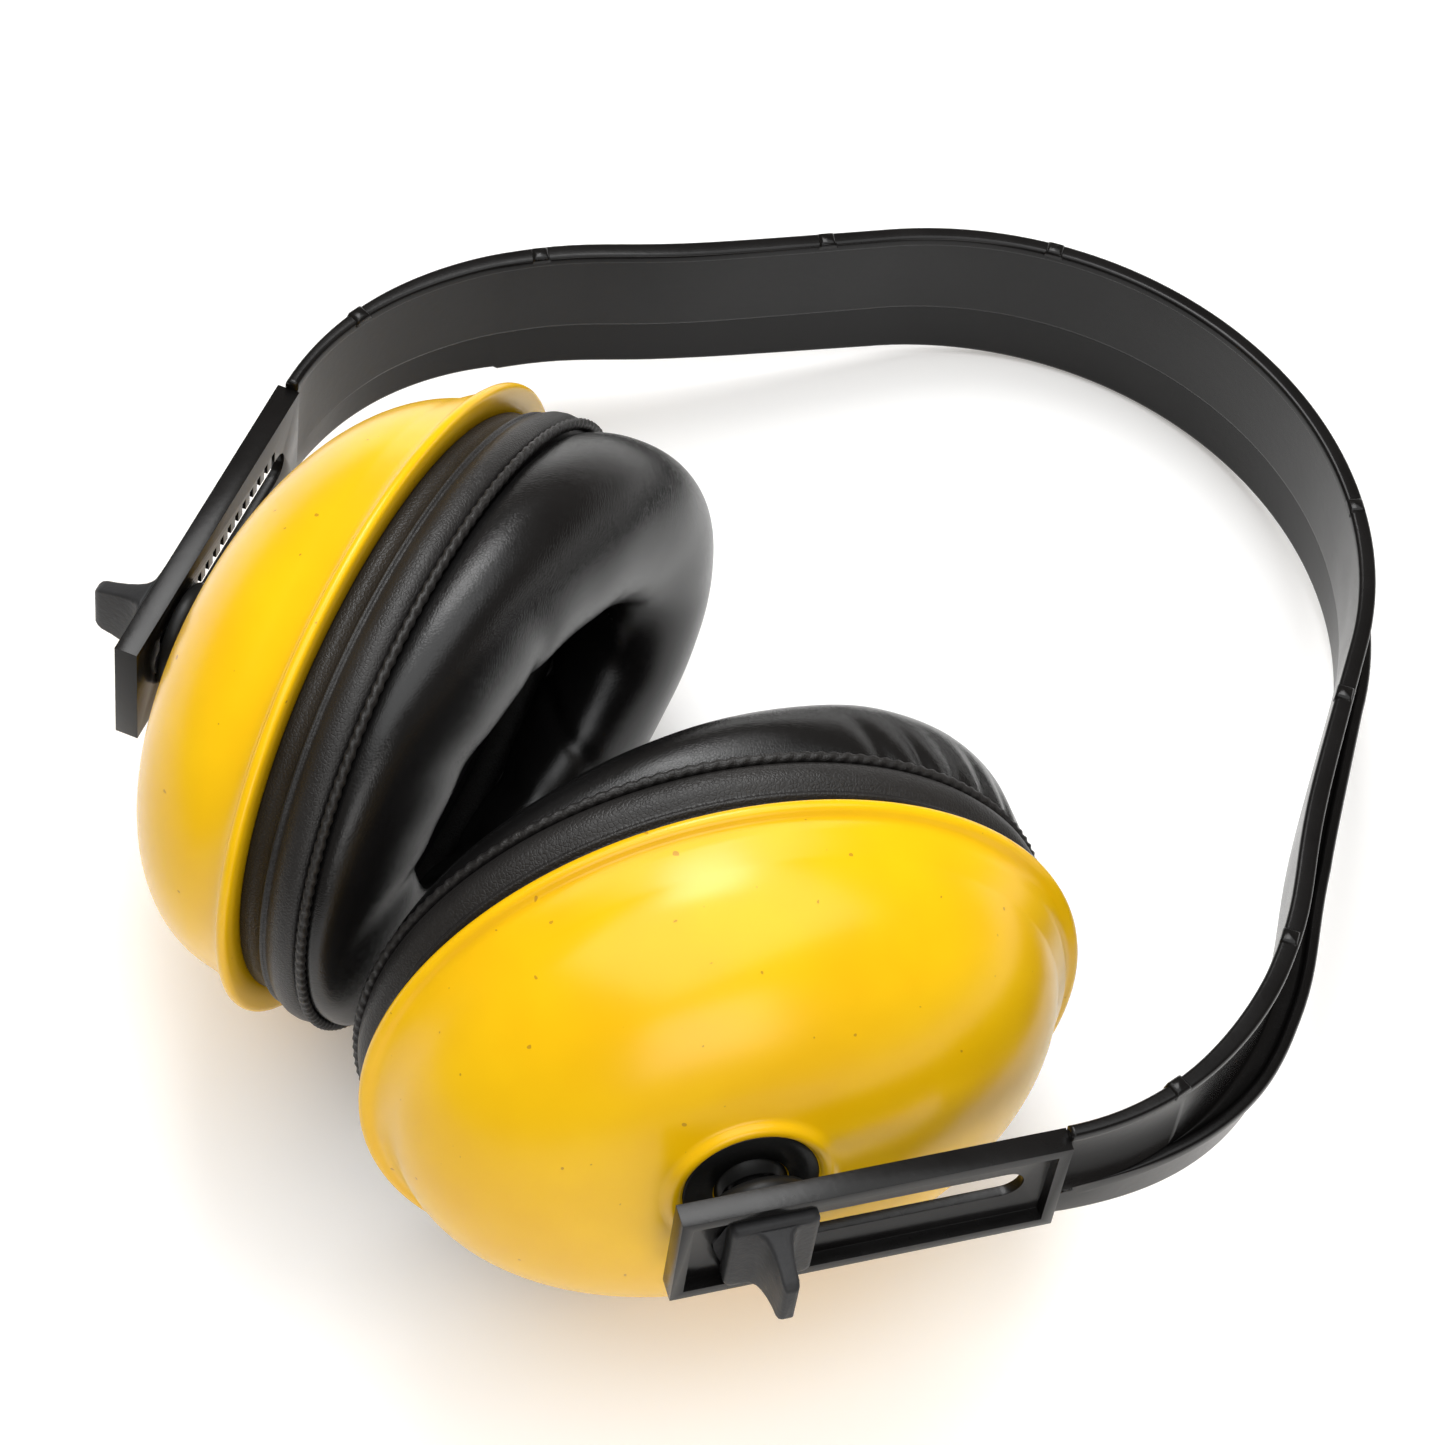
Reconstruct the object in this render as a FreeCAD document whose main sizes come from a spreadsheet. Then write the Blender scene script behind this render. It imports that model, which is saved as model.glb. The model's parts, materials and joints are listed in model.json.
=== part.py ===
import FreeCAD, Part
# Over-head hearing protection earmuffs: one stepped headband with slotted end plates, and two
# cups that slide along the plates and swivel, toe and tilt on a ball behind them.
#
# Frames, in millimetres:
# - band frame: X to the right cup, Y from the plates' free ends to the crown, Z across the strip.
# - pivot frame, one for each side: origin on the end plate's centre line at the pivot pin, +Z out
#   of the head, +Y along the plate towards the crown.
# - cup frame, one for each side: origin at the centre of the ball, +Z out of the cup along its pin.
# The finished model lies on its cups and on the crown's lower edge, with +Z up.
import math
import os

import Sketcher
from FreeCAD import Placement, Rotation, Vector

DOC = FreeCAD.newDocument("earmuffs")
SHEET = DOC.addObject("Spreadsheet::Sheet", "sizes")

SIZES = {
    # headband, seen along its height: crown arc, straight flank, corner arc, end plate
    "crown_top": 154.0, "crown_radius": 53.6, "crown_angle": 59.0,
    "flank_length": 54.5, "corner_radius": 39.4, "plate_angle": 26.2, "fade_start": 16.0,
    "fade_end": 33.0,
    # headband section: a Z step with a rim along its upper edge
    "band_height": 25.0, "web": 1.6, "step": 3.0, "step_level": -1.75,
    "rim_height": 1.5, "rim_inside": 1.0, "rim_outside": 1.2,
    # the strip's lower edge rises towards the plates: level there, run and angle of the cut
    "taper_level": 6.6, "taper_run": 36.0, "taper_angle": 9.3,
    # slotted end plates
    "plate_length": 50.0, "plate_height": 18.0, "plate_rise": 2.1, "panel_inside": 1.2, "panel": 1.4,
    "plate_rim": 1.8, "plate_rim_width": 1.6,
    "slot_width": 5.0, "slot_low": 5.0, "slot_high": 4.5,
    "notch_pitch": 2.3, "notch_width": 1.0, "notch_length": 2.4, "notch_depth": 0.5,
    # winged adjuster knob, its neck in the slot
    "pin_reach": 12.0, "clearance": 0.3, "knob_across": 14.0, "knob_along": 12.0,
    "knob_base": 3.0, "knob_reach": 7.4, "blade_root": 2.6, "blade_tip": 1.1, "blade_top": 7.0,
    "neck_across": 4.4, "neck_along": 13.6, "bore_radius": 1.5,
    # swivel disc and ball, whose centre lies this far inside the plate's centre line
    "ball_depth": 10.2, "disc_radius": 8.0, "disc_edge": 1.9, "disc_taper": 0.8,
    "disc_foot": 6.3, "ball_radius": 4.4, "neck_radius": 2.6,
    "bushing_wall": 1.1, "bushing_mouth": 4.0, "bushing_foot": 2.6,
    "screw_radius": 1.2, "screw_head": 2.5, "screw_head_height": 1.1, "screw_sink": 0.4,
    # cup shell, whose flange plane lies this far inside the ball's centre
    "ball_above_flange": 21.0, "pivot_shift": 3.0,
    "dome_long": 44.0, "dome_short": 36.2, "dome_height": 25.4, "dome_power": 2.3,
    "dome_lean": 1.0, "shell_wall": 2.2,
    "flange_long": 47.2, "flange_short": 39.3, "flange_thick": 2.6, "flange_drop": 0.8,
    "boss_radius": 11.2, "boss_bead": 1.5, "boss_level": 3.5, "dish_level": 3.9,
    "socket_gap": 0.3, "socket_radius": 6.1, "socket_mouth": 4.7, "socket_wall": 2.0,
    "socket_depth": 6.4, "cap_thick": 1.8,
    # inside the cup and the cushion, depths below the flange plane
    "liner_long": 40.6, "liner_short": 32.8, "liner_height": 11.8, "liner_wall": 8.0,
    "liner_floor": 5.0,
    "ring_long": 40.5, "ring_short": 32.6, "ring_wall": 3.2, "ring_depth": 4.6,
    "base_long": 43.4, "base_short": 35.5, "base_band": 4.4,
    "wide_long": 45.8, "wide_short": 37.9, "base_depth": 10.0, "base_wall": 2.6,
    "pad_long": 44.6, "pad_short": 36.7, "pad_depth": 22.0, "pad_round": 10.0,
    "pad_wedge": 8.0,
    "hole_long": 30.0, "hole_short": 20.5, "skin": 1.6,
    # how the model lies: pitch of the band, roll, and the table below the band frame's origin
    "lie_pitch": 11.18, "lie_roll": -4.80, "origin_x": 1.575, "origin_y": 68.07, "origin_z": -43.75,
}

# how each cup hangs at rest, in degrees: swivel about the pin, toe, tilt
REST = {"left": (0.0, -3.0, -4.0), "right": (8.0, 0.5, -11.4)}
SIDES = {"left": -1, "right": 1}

# sections of the cushion: part of the way down its depth, and part of its edge rounding
PAD_PROFILE = ((0.0, 0.0), (0.35, -0.05), (0.62, 0.12), (0.84, 0.42), (1.0, 1.0))
# sections of the dome, parts of its height
DOME_LEVELS = (0.0, 0.25, 0.48, 0.68, 0.84, 0.94, 0.985)


class Size:
    """A dimension that keeps its value and the spreadsheet expression that gives it."""

    def __init__(self, text, value):
        self.text = text
        self.value = value

    def join(self, other, sign, value):
        return Size(f"({self.text} {sign} {size(other).text})", value)

    def __add__(self, other):
        return self.join(other, "+", self.value + size(other).value)

    def __sub__(self, other):
        return self.join(other, "-", self.value - size(other).value)

    def __mul__(self, other):
        return self.join(other, "*", self.value * size(other).value)

    def __truediv__(self, other):
        return self.join(other, "/", self.value / size(other).value)

    def __neg__(self):
        return Size(f"(0 - {self.text})", -self.value)


def size(thing):
    """A cell by its alias, or a plain number, as a Size."""
    if isinstance(thing, Size):
        return thing
    if isinstance(thing, str):
        return Size(f"<<sizes>>.{thing}", SIZES[thing])
    return Size(f"{thing:.6f}", float(thing))


def sin(angle):
    return Size(f"sin({angle.text} * 1 deg)", math.sin(math.radians(angle.value)))


def cos(angle):
    return Size(f"cos({angle.text} * 1 deg)", math.cos(math.radians(angle.value)))


def leg(long, short):
    """The other leg of a right triangle, from its longest side and one leg."""
    value = math.sqrt(size(long).value ** 2 - size(short).value ** 2)
    return Size(f"sqrt({size(long).text} ^ 2 - {size(short).text} ^ 2)", value)


def fill_sheet():
    for row, (alias, value) in enumerate(SIZES.items(), start=1):
        SHEET.set(f"A{row}", alias)
        SHEET.set(f"B{row}", str(value))
        SHEET.setAlias(f"B{row}", alias)
    DOC.recompute()


def bind(thing, **properties):
    """Tie properties of a document object to their sizes."""
    for name, value in properties.items():
        thing.setExpression(name, size(value).text)


def new_body(name):
    return DOC.addObject("PartDesign::Body", name)


def plane(body, role):
    return next(item for item in body.Origin.OriginFeatures if item.Role == role)


def new_sketch(body, name, role):
    sketch = body.newObject("Sketcher::SketchObject", name)
    sketch.AttachmentSupport = (plane(body, role), [""])
    sketch.MapMode = "FlatFace"
    return sketch


def outline(sketch, corners, arcs=None):
    """Draw a closed outline through corners. arcs gives, for the side that starts at a corner,
    its radius and the side that it bulges to: 1 bulges right of the way round, -1 left."""
    arcs = arcs or {}
    count = len(corners)
    first = sketch.GeometryCount
    points = [Vector(x.value, y.value, 0) for x, y in corners]
    for index in range(count):
        start, end = points[index], points[(index + 1) % count]
        if index in arcs:
            radius, bulge = arcs[index]
            half = (end - start) * 0.5
            rise = math.sqrt(max(radius.value ** 2 - half.Length ** 2, 0.0))
            across = Vector(half.y, -half.x, 0).normalize() * bulge
            middle = start + half + across * (radius.value - rise)
            first_end, last_end = (start, end) if bulge > 0 else (end, start)
            sketch.addGeometry(Part.Arc(first_end, middle, last_end), False)
        else:
            sketch.addGeometry(Part.LineSegment(start, end), False)
    ends = []
    for index in range(count):
        shape = sketch.Geometry[first + index]
        same = (shape.StartPoint - points[index]).Length < (shape.EndPoint - points[index]).Length
        ends.append((1, 2) if same else (2, 1))
    for index in range(count):
        after = (index + 1) % count
        sketch.addConstraint(Sketcher.Constraint(
            "Coincident", first + index, ends[index][1], first + after, ends[after][0]))
    for index, (x, y) in enumerate(corners):
        for kind, place in (("DistanceX", x), ("DistanceY", y)):
            number = sketch.addConstraint(Sketcher.Constraint(
                kind, -1, 1, first + index, ends[index][0], place.value))
            sketch.setExpression(f"Constraints[{number}]", place.text)
    for index, (radius, _) in arcs.items():
        number = sketch.addConstraint(
            Sketcher.Constraint("Radius", first + index, radius.value))
        sketch.setExpression(f"Constraints[{number}]", radius.text)


def pad(body, sketch, length, base=None, midplane=False):
    feature = body.newObject("PartDesign::Pad", sketch.Name + "_pad")
    feature.Profile = sketch
    bind(feature, Length=length)
    feature.Midplane = midplane
    if base is not None:
        bind(sketch, **{"AttachmentOffset.Base.z": base})
    return feature


def pocket(body, sketch, midplane=True):
    feature = body.newObject("PartDesign::Pocket", sketch.Name + "_pocket")
    feature.Profile = sketch
    feature.Type = "ThroughAll"
    feature.Midplane = midplane
    return feature


def circle(sketch, radius):
    number = sketch.addGeometry(Part.Circle(Vector(), Vector(0, 0, 1), size(radius).value), False)
    sketch.addConstraint(Sketcher.Constraint("Coincident", number, 3, -1, 1))
    item = sketch.addConstraint(Sketcher.Constraint("Radius", number, size(radius).value))
    sketch.setExpression(f"Constraints[{item}]", size(radius).text)


def turned(name, corners, arcs=None):
    """A body turned about Z from a half section of radius and height."""
    body = new_body(name)
    sketch = new_sketch(body, name + "_section", "XZ_Plane")
    outline(sketch, corners, arcs)
    feature = body.newObject("PartDesign::Revolution", name + "_turn")
    feature.Profile = sketch
    feature.ReferenceAxis = (sketch, ["V_Axis"])
    feature.Angle = 360
    return body


def box(name, length, width, height, place=Placement()):
    """A block centred on X and Y, standing on its own XY plane."""
    block = DOC.addObject("Part::Box", name)
    bind(block, Length=length, Width=width, Height=height)
    half = Placement(Vector(-size(length).value / 2, -size(width).value / 2, 0), Rotation())
    block.Placement = place * half
    return block


def cylinder(name, radius, height, place=Placement()):
    round_bar = DOC.addObject("Part::Cylinder", name)
    bind(round_bar, Radius=radius, Height=height)
    round_bar.Placement = place
    return round_bar


def ball(name, radius):
    sphere = DOC.addObject("Part::Sphere", name)
    bind(sphere, Radius=radius)
    return sphere


def ellipse(name, long, short, level, shift=0.0):
    """An ellipse across Z at a level, with its long axis along Y."""
    ring = DOC.addObject("Part::Ellipse", name)
    bind(ring, MajorRadius=long, MinorRadius=short)
    ring.Placement = Placement(Vector(0, size(shift).value, size(level).value),
                               Rotation(Vector(0, 0, 1), 90))
    return ring


def loft(name, sections):
    skin = DOC.addObject("Part::Loft", name)
    skin.Sections = sections
    skin.Solid = True
    return skin


def drum(name, long, short, low, high, shift=0.0):
    """An upright elliptical drum."""
    return loft(name, [ellipse(name + "_low", long, short, low, shift),
                       ellipse(name + "_high", long, short, high, shift)])


def fuse(name, pieces):
    joined = DOC.addObject("Part::MultiFuse", name)
    joined.Shapes = pieces
    return joined


def cut(name, base, tool):
    result = DOC.addObject("Part::Cut", name)
    result.Base = base
    result.Tool = tool
    return result


# ---------------------------------------------------------------- headband

def loop_point(turn, offset, side):
    """A point of the corner arc, turn degrees before the plate, offset outwards."""
    radius = size("corner_radius") + offset
    angle = size("plate_angle") - turn
    centre_x, centre_y = corner_centre()
    return ((centre_x + radius * cos(angle)) * side, centre_y - radius * sin(angle))


def corner_centre():
    flank_x, flank_y = flank_point(size("flank_length"), -size("corner_radius"), 1)
    return flank_x, flank_y


def flank_point(along, offset, side):
    """A point of the straight flank: along from the crown arc's end, offset outwards."""
    lean = size("crown_angle")
    radius = size("crown_radius") + offset
    x = radius * sin(lean) + along * cos(lean)
    y = size("crown_top") - size("crown_radius") + radius * cos(lean) - along * sin(lean)
    return x * side, y


def strip(body, name, inside, outside, end_inside, end_outside, low, height):
    """One layer of the loop, between two offsets from its centre line. Each end of it runs in
    a straight line from those offsets to the end offsets where it meets the plate."""
    inside, outside, end_inside, end_outside = map(
        size, (inside, outside, end_inside, end_outside))
    fade, flank = size("fade_end"), size("flank_length")
    start = size("fade_start")
    corners, arcs = [], {}
    for offset, end, sides, bulge in ((outside, end_outside, (-1, 1), -1),
                                      (inside, end_inside, (1, -1), 1)):
        near, far = sides
        run = [loop_point(size(0), end, near), loop_point(start, end, near),
               loop_point(fade, offset, near), flank_point(flank, offset, near),
               flank_point(size(0), offset, near), flank_point(size(0), offset, far),
               flank_point(flank, offset, far), loop_point(fade, offset, far),
               loop_point(start, end, far), loop_point(size(0), end, far)]
        first = len(corners)
        corner, crown = size("corner_radius"), size("crown_radius")
        arcs[first] = (corner + end, bulge)
        arcs[first + 2] = (corner + offset, bulge)
        arcs[first + 4] = (crown + offset, bulge)
        arcs[first + 6] = (corner + offset, bulge)
        arcs[first + 8] = (corner + end, bulge)
        corners += run
    sketch = new_sketch(body, name, "XY_Plane")
    outline(sketch, corners, arcs)
    return pad(body, sketch, height, low)


def plate_place(side, reach, outward=0.0):
    """The pivot frame at a reach along the plate from its free end."""
    turn = math.radians(SIZES["plate_angle"])
    out = Vector(side * math.cos(turn), -math.sin(turn), 0)
    along = Vector(side * math.sin(turn), math.cos(turn), 0)
    end_x, end_y = loop_point(size(0), size(0), side)
    origin = Vector(end_x.value, end_y.value, SIZES["plate_rise"])
    origin -= along * (SIZES["plate_length"] - reach)
    across = along.cross(out)
    return Placement(origin + out * outward, Rotation(across, along, out, "ZXY"))


def plate(side, name):
    """An end plate: a panel with a rim round its outer face."""
    length, height = size("plate_length"), size("plate_height")
    middle = plate_place(side, length.value / 2)
    inner = Placement(Vector(0, 0, -SIZES["panel_inside"]), Rotation())
    full = box(name + "_block", height, length, size("panel") + "plate_rim", middle * inner)
    floor = Placement(Vector(0, 0, SIZES["panel"] - SIZES["panel_inside"]), Rotation())
    recess = box(name + "_recess", height - size("plate_rim_width") * 2,
                 length - size("plate_rim_width") * 2, "plate_rim", middle * floor)
    return cut(name, full, recess)


def slot(side, name):
    """The slot for the knob's neck, with the ratchet notches beside it."""
    low, high = SIZES["slot_low"], SIZES["plate_length"] - SIZES["slot_high"]
    half = SIZES["slot_width"] / 2
    depth = size("panel") + "plate_rim"
    sunk = -SIZES["panel_inside"] - 0.5
    pieces = [box(name + "_middle", "slot_width", high - low - 2 * half, depth,
                  plate_place(side, (low + high) / 2, sunk))]
    for end, reach in (("low", low + half), ("high", high - half)):
        pieces.append(cylinder(f"{name}_{end}", size("slot_width") / 2, depth,
                               plate_place(side, reach, sunk)))
    count = int((high - low) / SIZES["notch_pitch"]) - 1
    width = size("slot_width") + size("notch_length") * 2
    for index in range(count):
        reach = low + (index + 1) * SIZES["notch_pitch"]
        pieces.append(box(f"{name}_notch_{index}", width, "notch_width", size("notch_depth") + 0.5,
                          plate_place(side, reach, sunk)))
    return fuse(name, pieces)


def taper_cut(side, name):
    """A block that cuts the strip's lower edge on a slope, from the plate round the corner."""
    deep, wide = 12.0, 60.0
    foot = plate_place(side, SIZES["plate_length"])
    level = SIZES["taper_level"] + SIZES["plate_rise"]
    lean = Rotation(Vector(0, 0, 1), -side * SIZES["taper_angle"])
    corner = Placement(Vector(side * level, 0, -wide / 2), lean)
    block = box(name, deep, size("taper_run") * 2, wide)
    block.Placement = foot * corner * Placement(
        Vector(0 if side > 0 else -deep, -SIZES["taper_run"], 0), Rotation())
    return block


def headband():
    body = new_body("band_loop")
    half = size("band_height") / 2
    web = size("web") / 2
    ledge_low = size("step_level") - "web"
    rim_low = half - "rim_height"
    strip(body, "rim", -size("rim_inside"), "rim_outside", -web, web, rim_low, "rim_height")
    strip(body, "upper_web", -web, web, -web, web, ledge_low, rim_low - ledge_low)
    strip(body, "ledge", -web, web + "step", -web, web, ledge_low, "web")
    strip(body, "lower_web", -web + "step", web + "step", -web, web, -half,
          size("step_level") + half)
    plates = [plate(side, f"{word}_plate") for word, side in SIDES.items()]
    slots = [slot(side, f"{word}_slot") for word, side in SIDES.items()]
    tapers = [taper_cut(side, f"{word}_taper") for word, side in SIDES.items()]
    loop = cut("tapered_loop", body, fuse("tapers", tapers))
    whole = fuse("band_with_plates", [loop] + plates)
    return cut("headband", whole, fuse("band_slots", slots))


# ---------------------------------------------------------------- pivot pieces, pivot frame

def knob(name):
    """Winged grip: base block, blade across the slot, and a neck that runs in the slot."""
    body = new_body(name)
    low = size("panel") - "panel_inside" + "clearance"
    top = low + "knob_base"
    blade = top + "blade_top"
    half, root, tip = size("knob_along") / 2, size("blade_root"), size("blade_tip")
    curve = size("blade_top") * 1.6
    side_view = new_sketch(body, name + "_side", "YZ_Plane")
    outline(side_view, [(-half, low), (half, low), (half, top), (root, top), (tip, blade),
                        (-tip, blade), (-root, top), (-half, top)],
            {3: (curve, -1), 5: (curve, -1)})
    pad(body, side_view, "knob_across", midplane=True)
    neck = new_sketch(body, name + "_neck", "XY_Plane")
    wide, long = size("neck_across") / 2, size("neck_along") / 2
    bow = wide * 1.1
    outline(neck, [(wide, wide - long), (wide, long - wide), (-wide, long - wide),
                   (-wide, wide - long)], {1: (bow, 1), 3: (bow, 1)})
    pad(body, neck, size("panel_inside") + low, -size("panel_inside"))
    wings = new_sketch(body, name + "_wings", "XZ_Plane")
    edge, reach = size("knob_across") / 2, size("knob_reach") / 2
    outline(wings, [(edge + 1, top), (edge + 1, blade + 1), (reach, blade + 1), (reach, blade),
                    (edge, top)])
    outline(wings, [(-edge - 1, top), (-edge, top), (-reach, blade), (-reach, blade + 1),
                    (-edge - 1, blade + 1)])
    pocket(body, wings)
    hole = new_sketch(body, name + "_bore", "XY_Plane")
    circle(hole, "bore_radius")
    bore = body.newObject("PartDesign::Pocket", name + "_bore_cut")
    bore.Profile = hole
    bore.Midplane = True
    bind(bore, Length=top * 2)
    body.Tip = bore
    return body


def disc_top():
    return -size("panel_inside") - "clearance"


def swivel_disc(name):
    """Round spacer between plate and cup, cut away below so that the cup can tilt."""
    top, bore, rim = disc_top(), size("neck_radius"), size("disc_radius")
    foot = size("disc_foot") - "ball_depth"
    return turned(name, [(bore, top), (rim, top), (rim, top - "disc_edge"),
                         (rim - "disc_taper", foot), (bore, foot)])


def ball_stud(name):
    """Ball with a neck pressed into the swivel disc, bored for the screw."""
    radius, neck, bore = size("ball_radius"), size("neck_radius"), size("bore_radius")
    depth = -size("ball_depth")
    return turned(name, [(bore, depth - leg(radius, bore)), (neck, depth + leg(radius, neck)),
                         (neck, disc_top()), (bore, disc_top())], {0: (radius, 1)})


def pivot_screw(name):
    """Pan-head screw that holds knob, disc and ball together from below the ball."""
    zero, shank, head = size(0), size("screw_radius"), size("screw_head")
    low = -size("ball_depth") - leg("ball_radius", "bore_radius") - "clearance"
    top = size("panel") - "panel_inside" + "clearance" + "knob_base" - "screw_sink"
    return turned(name, [(zero, low - "screw_head_height"), (head, low - "screw_head_height"),
                         (head, low), (shank, low), (shank, top), (zero, top)])


def ball_bushing(name):
    """Open spherical liner between the ball and the cup's socket, ball frame."""
    inner = size("ball_radius") + "socket_gap"
    outer = inner + "bushing_wall"
    mouth, foot = size("bushing_mouth"), size("bushing_foot")
    return turned(name, [(leg(inner, foot), -foot), (mouth, leg(inner, mouth)),
                         (mouth, leg(outer, mouth)), (leg(outer, foot), -foot)],
                  {0: (inner, 1), 2: (outer, -1)})


# ---------------------------------------------------------------- cup pieces, cup frame

def dome(name, long, short, height):
    """A domed solid standing on the flange plane. Its crown leans towards the pivot."""
    power = SIZES["dome_power"]
    base = -size("ball_above_flange")
    rings = []
    for index, part in enumerate(DOME_LEVELS):
        width = (1 - part ** power) ** (1 / power)
        shift = size("pivot_shift") * (1 - part) + size("dome_lean") * part * 0.5
        rings.append(ellipse(f"{name}_{index}", size(long) * width, size(short) * width,
                             base + size(height) * part, shift))
    return loft(name, rings)


def cup_shell(name):
    """Yellow shell: dome, flange, bead round the pivot, and the ball's socket inside."""
    wall, base = size("shell_wall"), -size("ball_above_flange")
    shift = size("pivot_shift")
    outer = dome(name + "_outer", "dome_long", "dome_short", "dome_height")
    inner = dome(name + "_inner", size("dome_long") - wall, size("dome_short") - wall,
                 size("dome_height") - wall)
    flange = drum(name + "_flange", "flange_long", "flange_short", base - "flange_drop",
                  base - "flange_drop" + "flange_thick", shift)
    bead = DOC.addObject("Part::Torus", name + "_bead")
    bind(bead, Radius1="boss_radius", Radius2="boss_bead")
    bead.Placement = Placement(Vector(0, 0, SIZES["boss_level"]), Rotation())
    low = -size("socket_depth")
    post = cylinder(name + "_post", size("socket_radius") + "socket_wall",
                    size("dish_level") - low, Placement(Vector(0, 0, low.value), Rotation()))
    opening = drum(name + "_opening", size("dome_long") - wall, size("dome_short") - wall,
                   base - "flange_drop" - 1, base + 0.01, shift)
    hollow = cut(name + "_hollow", fuse(name + "_skin", [outer, flange, bead]),
                 fuse(name + "_inside", [inner, opening]))
    level = size("dish_level")
    dish = cylinder(name + "_dish", size("boss_radius"), 8,
                    Placement(Vector(0, 0, level.value), Rotation()))
    bead_again = DOC.addObject("Part::Torus", name + "_bead_again")
    bind(bead_again, Radius1="boss_radius", Radius2="boss_bead")
    bead_again.Placement = bead.Placement
    with_post = fuse(name + "_with_post",
                     [cut(name + "_dished", hollow, dish), post, bead_again])
    mouth = cylinder(name + "_mouth", "socket_mouth", 12)
    well = cylinder(name + "_well", "socket_radius", size("socket_depth") + 1,
                    Placement(Vector(0, 0, low.value - 1), Rotation()))
    cavity = fuse(name + "_cavity", [ball(name + "_socket", "socket_radius"), mouth, well])
    return cut(name, with_post, cavity)


def socket_cap(name):
    """Disc that closes the ball's socket from inside the shell."""
    radius = size("socket_radius") + "socket_wall"
    low = -size("socket_depth") - "cap_thick"
    return turned(name, [(size(0), low), (radius, low), (radius, low + "cap_thick"),
                         (size(0), low + "cap_thick")])


def foam_liner(name):
    """Open acoustic foam bowl inside the shell, below the socket."""
    base, shift = -size("ball_above_flange"), size("pivot_shift")
    top = base + "liner_height"
    block = loft(name + "_block", [
        ellipse(name + "_low", "liner_long", "liner_short", base, shift),
        ellipse(name + "_high", size("liner_long") - 4.5, size("liner_short") - 4.5, top, shift)])
    wall = size("liner_wall")
    hollow = drum(name + "_hollow", size("liner_long") - wall, size("liner_short") - wall,
                  base - 1, top - "liner_floor", shift)
    return cut(name, block, hollow)


def ring(name, long, short, wall, low, high):
    """An elliptical ring between two depths below the flange plane."""
    base, shift = -size("ball_above_flange"), size("pivot_shift")
    long, short, wall = size(long), size(short), size(wall)
    outer = drum(name + "_outer", long, short, base - low, base - high, shift)
    inner = drum(name + "_inner", long - wall, short - wall, base - low - 1, base - high + 1,
                 shift)
    return cut(name, outer, inner)


def snap_ring(name):
    return ring(name, "ring_long", "ring_short", "ring_wall", "ring_depth", "flange_drop")


def cushion_base(name):
    """Grained vinyl ring under the flange: a narrow band, then a wider one."""
    band = ring(name + "_band", "base_long", "base_short", "base_wall", "base_band",
                "flange_drop")
    wide = ring(name + "_wide", "wide_long", "wide_short",
                size("wide_long") - "base_long" + "base_wall", "base_depth", "base_band")
    return fuse(name, [band, wide])


def padded_ring(name, inset):
    """Rounded cushion body, deeper towards the crown, inset from the skin's outside."""
    base, shift, inset = -size("ball_above_flange"), size("pivot_shift"), size(inset)
    top, bottom = base - "base_depth" - inset, base - "pad_depth" + inset
    long, short = size("pad_long") - inset, size("pad_short") - inset
    thick, curl = top - bottom, size("pad_round")
    rings = []
    for index, (part, tuck) in enumerate(PAD_PROFILE):
        section = ellipse(f"{name}_{index}", long - curl * tuck, short - curl * tuck,
                          top - thick * part, shift)
        lean = Rotation(Vector(1, 0, 0), -SIZES["pad_wedge"] * part)
        section.Placement.Rotation = lean * section.Placement.Rotation
        rings.append(section)
    hole = drum(name + "_hole", size("hole_long") + inset, size("hole_short") + inset,
                bottom - "pad_round", top + 1, shift)
    return cut(name, loft(name + "_block", rings), hole)


def cushion_pad(name):
    """Smooth vinyl skin, closed round the foam."""
    return cut(name, padded_ring(name + "_outside", 0), padded_ring(name + "_inside", "skin"))


def cushion_foam(name):
    return padded_ring(name, "skin")


# ---------------------------------------------------------------- assembly

PIVOT_PIECES = {"knob": knob, "pivot_screw": pivot_screw, "swivel_disc": swivel_disc,
                "ball_stud": ball_stud}
CUP_PIECES = {"cup_shell": cup_shell, "socket_cap": socket_cap, "foam_liner": foam_liner,
              "snap_ring": snap_ring, "cushion_base": cushion_base, "cushion_pad": cushion_pad,
              "cushion_foam": cushion_foam}


def lying_place():
    """The band frame in the frame of the finished model, which lies on a table."""
    pitch = Rotation(Vector(1, 0, 0), -SIZES["lie_pitch"])
    roll = Rotation(Vector(0, 1, 0), SIZES["lie_roll"])
    shift = Vector(SIZES["origin_x"], SIZES["origin_y"], SIZES["origin_z"])
    return Placement(-shift, roll * pitch)


def side_places(word):
    """The pivot frame, the toe frame and the cup frame of one side, in the model's frame."""
    pivot = lying_place() * plate_place(SIDES[word], SIZES["pin_reach"])
    spin, toe, tilt = REST[word]
    down = Placement(Vector(0, 0, -SIZES["ball_depth"]), Rotation(Vector(0, 0, 1), spin))
    toed = pivot * down * Placement(Vector(), Rotation(Vector(1, 0, 0), toe))
    tilted = toed * Placement(Vector(), Rotation(Vector(0, 1, 0), tilt))
    return pivot, toed, tilted


def build():
    """Every sub-part by its node name, each with the placement that it takes in the model."""
    nodes = {"headband": (headband(), lying_place())}
    for word in SIDES:
        pivot, toed, tilted = side_places(word)
        for piece, make in PIVOT_PIECES.items():
            nodes[f"{word}_{piece}"] = (make(f"{word}_{piece}"), pivot)
        nodes[f"{word}_ball_bushing"] = (ball_bushing(f"{word}_ball_bushing"), toed)
        for piece, make in CUP_PIECES.items():
            nodes[f"{word}_{piece}"] = (make(f"{word}_{piece}"), tilted)
    return nodes


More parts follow.
